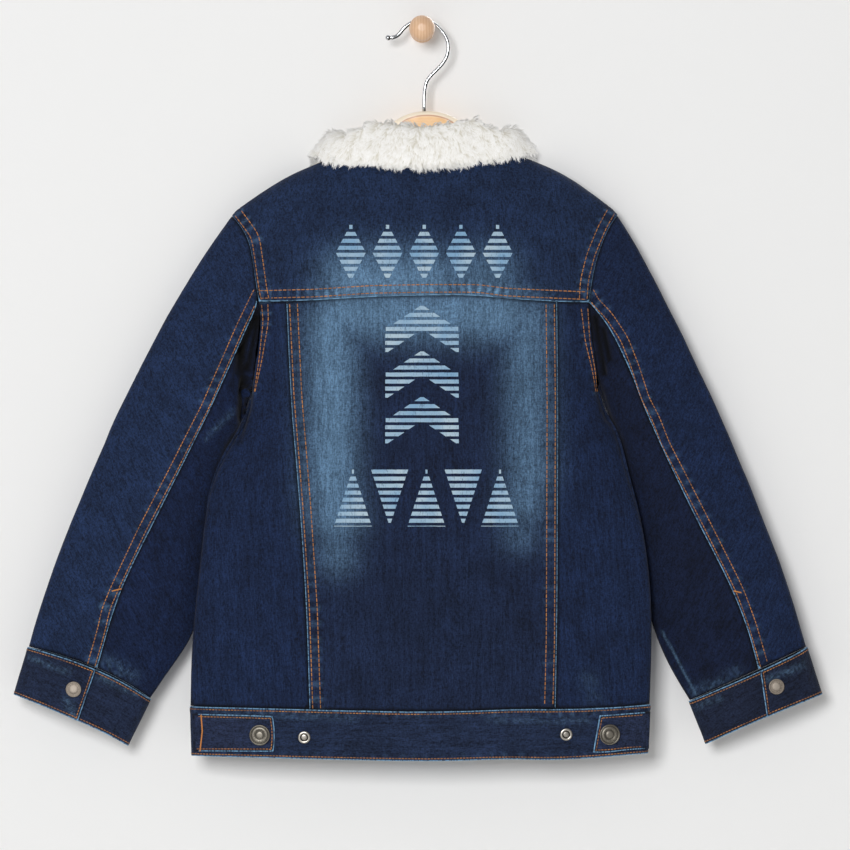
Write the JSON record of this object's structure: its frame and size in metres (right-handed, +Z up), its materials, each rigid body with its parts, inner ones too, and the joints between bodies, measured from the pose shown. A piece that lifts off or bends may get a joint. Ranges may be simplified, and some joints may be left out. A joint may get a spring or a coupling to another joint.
{
  "type": "denim jacket with sherpa collar on a wooden hanger and wall peg",
  "caption": "Dark denim jacket seen from the back, with a thick sherpa collar and adjuster tabs, on a wooden hanger that hooks over a turned wall peg.",
  "frame": {"origin": "centre of the peg's flat base, where it meets the wall", "axes": "+Y into the wall, normal to the peg's base; +Z up; +X to the right as the jacket's back is seen"},
  "size_m": [0.7306, 0.0761, 0.6701],
  "materials": {
    "yoke_denim": "indigo twill with a soft washed area along its lower edge",
    "back_denim": "indigo twill with a washed ring",
    "side_denim": "indigo twill",
    "front_denim": "indigo twill",
    "sleeve_denim": "indigo twill",
    "under_sleeve_denim": "indigo twill, a shade darker",
    "band_denim": "folded indigo twill, worn pale along its edges",
    "tab_denim": "folded indigo twill, worn pale along its edges",
    "sherpa": "long cream pile in soft clumps",
    "pewter": "antique pewter plating, satin",
    "bright_stud": "pale satin plating",
    "snap_metal": "brushed antique nickel",
    "hanger_wood": "clear satin lacquer on pale wood",
    "hook_wire": "bright plated wire",
    "peg_wood": "satin turned beech"
  },
  "bodies": {
    "root": {"back_yoke": "yoke_denim", "back_center_panel": "back_denim", "back_side_panel_left": "side_denim", "back_side_panel_right": "side_denim", "front_left": "front_denim", "front_right": "front_denim", "front_placket": "front_denim", "sleeve_upper_left": "sleeve_denim", "sleeve_upper_right": "sleeve_denim", "sleeve_under_left": "under_sleeve_denim", "sleeve_under_right": "under_sleeve_denim", "cuff_left": "band_denim", "cuff_right": "band_denim", "waistband": "band_denim", "waist_tab_left": "tab_denim", "waist_tab_right": "tab_denim", "sherpa_collar": "sherpa", "tab_button_left": "pewter", "tab_button_right": "pewter", "waist_stud_left": "bright_stud", "waist_stud_right": "bright_stud", "cuff_snap_left": "snap_metal", "cuff_snap_right": "snap_metal", "front_button_1": "pewter", "front_button_2": "pewter", "front_button_3": "pewter", "front_button_4": "pewter", "front_button_5": "pewter", "front_button_6": "pewter", "hanger_body": "hanger_wood", "hanger_hook": "hook_wire", "wall_peg": "peg_wood"}
  },
  "joints": []
}
